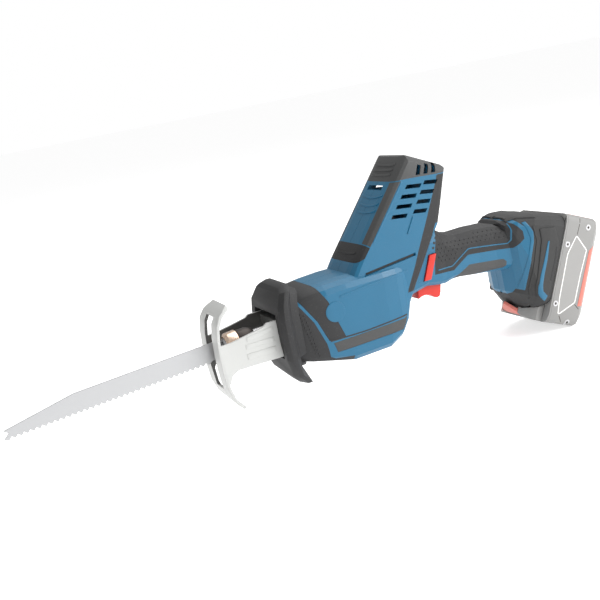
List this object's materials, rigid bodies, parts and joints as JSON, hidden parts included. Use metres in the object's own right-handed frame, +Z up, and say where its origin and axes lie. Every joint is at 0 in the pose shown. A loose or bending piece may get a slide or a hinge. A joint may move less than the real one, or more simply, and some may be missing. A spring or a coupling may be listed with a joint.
{
  "type": "reciprocating saw",
  "caption": "Cordless reciprocating saw with an upright motor tower, a sliding two-armed shoe, a toothed blade in a quick clamp and a slide-on battery pack.",
  "frame": {"origin": "middle of the base of the bounding box, with the pack's lower edge at z = 0", "axes": "+X from the blade's tip to the battery pack, +Y across the tool, +Z up; the viewer of the near side looks along +Y"},
  "size_m": [0.6002, 0.076, 0.2098],
  "materials": {
    "blue_plastic": "satin moulded",
    "dark_rubber": "soft matte",
    "grey_rubber": "soft matte",
    "black_plastic": "fine texture",
    "dark_steel": "blackened",
    "white_casting": "pale powder coat",
    "cast_alloy": "as cast",
    "bronze": "sintered",
    "steel": "ground",
    "copper_finish": "warm plated",
    "blade_steel": "satin ground",
    "copper_winding": "lacquered windings",
    "red_plastic": "satin moulded",
    "grey_plastic": "fine texture",
    "pale_red_plastic": "satin moulded",
    "cell_wrap": "shrink wrap over the cell can"
  },
  "bodies": {
    "body": {"housing_left": "blue_plastic", "housing_right": "blue_plastic", "nose_boot": "dark_rubber", "gear_collar": "dark_rubber", "tower_cap": "grey_rubber", "tower_collar": "dark_rubber", "rear_pillar": "dark_rubber", "handle_grip": "dark_rubber", "lower_grip": "grey_rubber", "foot_cover": "black_plastic", "side_band_left": "grey_rubber", "side_band_right": "grey_rubber", "bumper_left": "grey_rubber", "bumper_right": "grey_rubber", "housing_screw_1": "dark_steel", "housing_screw_2": "dark_steel", "housing_screw_3": "dark_steel", "housing_screw_4": "dark_steel", "housing_screw_5": "dark_steel", "hand_guard": "dark_rubber", "gear_case": "cast_alloy", "gear_case_cover": "cast_alloy", "front_bush": "bronze", "rear_bush": "bronze", "plunger_seal": "dark_rubber", "crank_bearing": "steel", "front_motor_bearing": "steel", "rear_motor_bearing": "steel", "motor_can": "steel", "magnet_left": "dark_steel", "magnet_right": "dark_steel", "switch": "black_plastic", "electronics": "black_plastic", "terminal_block": "black_plastic"},
    "plunger": {"plunger": "steel", "clamp_body": "steel", "clamp_ring": "dark_steel", "blade": "blade_steel"},
    "sleeve": {"clamp_sleeve": "copper_finish"},
    "crank": {"crank_gear": "steel", "crank_roller": "steel"},
    "rotor": {"motor_shaft": "steel", "rotor": "copper_winding", "fan": "black_plastic"},
    "shoe": {"shoe": "white_casting"},
    "trigger": {"trigger": "red_plastic"},
    "lock_off": {"lock_off": "red_plastic"},
    "pack": {"pack_case": "grey_plastic", "pack_cover": "grey_plastic", "cell_1": "cell_wrap", "cell_2": "cell_wrap", "cell_3": "cell_wrap", "cell_4": "cell_wrap", "cell_5": "cell_wrap", "cell_6": "cell_wrap", "cell_7": "cell_wrap", "cell_8": "cell_wrap", "cell_9": "cell_wrap", "cell_10": "cell_wrap"},
    "release_button": {"release_button": "pale_red_plastic"}
  },
  "joints": [
    {"name": "blade_stroke", "type": "slide", "parent": "body", "child": "plunger", "axis": [-0.9984, 0, -0.0569], "range_m": [-0.017, 0.004]},
    {"name": "sleeve_turn", "type": "hinge", "parent": "plunger", "child": "sleeve", "pos_m": [0.04092, 0, 0.08645], "axis": [0.9984, 0, 0.0569], "range_deg": [0, 60], "stiffness_Nm_per_rad": 0.08, "springref_deg": -17.19},
    {"name": "motor_spin", "type": "hinge", "parent": "body", "child": "rotor", "pos_m": [0.04092, 0, 0.08645], "axis": [0.5, 0, 0.866], "continuous": true},
    {"name": "crank_spin", "type": "hinge", "parent": "body", "child": "crank", "pos_m": [0.04092, 0, 0.08645], "axis": [0, 1, 0], "continuous": true},
    {"name": "shoe_slide", "type": "slide", "parent": "body", "child": "shoe", "axis": [-1, 0, 0], "range_m": [0, 0.03]},
    {"name": "trigger_pull", "type": "slide", "parent": "body", "child": "trigger", "axis": [0, 0, 1], "range_m": [0, 0.006], "stiffness_N_per_m": 600, "springref_m": -0.004},
    {"name": "lock_slide", "type": "slide", "parent": "body", "child": "lock_off", "axis": [0, 1, 0], "range_m": [-0.003, 0.003]},
    {"name": "pack_slide", "type": "slide", "parent": "body", "child": "pack", "axis": [-0.3746, 0, -0.9272], "range_m": [0, 0.075]},
    {"name": "button_press", "type": "slide", "parent": "pack", "child": "release_button", "axis": [0.9272, 0, -0.3746], "range_m": [0, 0.003], "stiffness_N_per_m": 800, "springref_m": -0.002}
  ],
  "couplings": [
    {"joint": "crank_spin", "follows": "motor_spin", "ratio": 0.22222}
  ]
}
